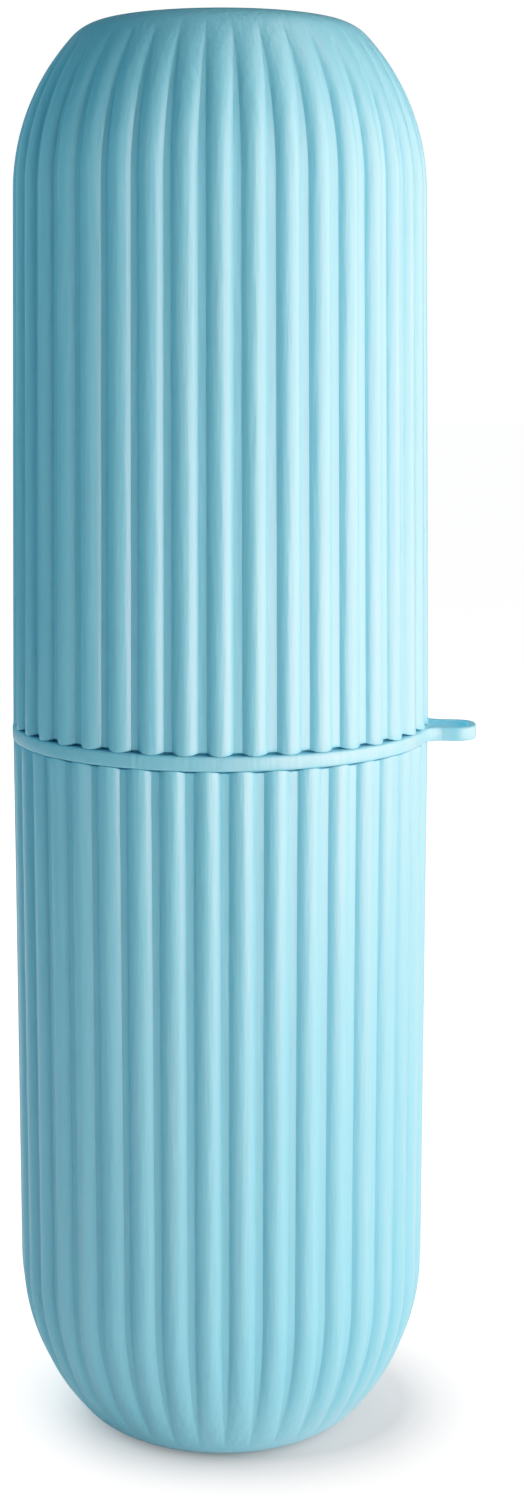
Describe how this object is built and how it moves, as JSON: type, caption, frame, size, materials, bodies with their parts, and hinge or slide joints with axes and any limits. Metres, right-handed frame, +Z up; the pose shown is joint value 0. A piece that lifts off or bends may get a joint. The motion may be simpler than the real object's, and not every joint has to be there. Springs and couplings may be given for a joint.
{
  "type": "travel toothbrush case",
  "caption": "Upright capsule case with ribbed walls and domed ends: a cup below and a cup above, plugged onto a joining ring that carries a small cord loop.",
  "frame": {"origin": "centre of the flat foot under the lower cup, on the surface that the case stands on", "axes": "+Z up, along the case's axis; the viewer looks along +Y with +X on the right, and the cord loop points along +X, turned a few degrees towards the viewer"},
  "size_m": [0.0665, 0.0598, 0.2],
  "materials": {
    "cup_plastic": "satin moulded polypropylene, pale sky blue",
    "ring_plastic": "satin moulded polypropylene, pale sky blue"
  },
  "bodies": {
    "lower_cup": {"lower_cup": "cup_plastic"},
    "connector_ring": {"connector_ring": "ring_plastic"},
    "upper_cup": {"upper_cup": "cup_plastic"}
  },
  "joints": [
    {"name": "ring_lift", "type": "slide", "parent": "lower_cup", "child": "connector_ring", "axis": [0, 0, 1], "range_m": [0, 0.03]},
    {"name": "cap_lift", "type": "slide", "parent": "connector_ring", "child": "upper_cup", "axis": [0, 0, 1], "range_m": [0, 0.11]}
  ]
}
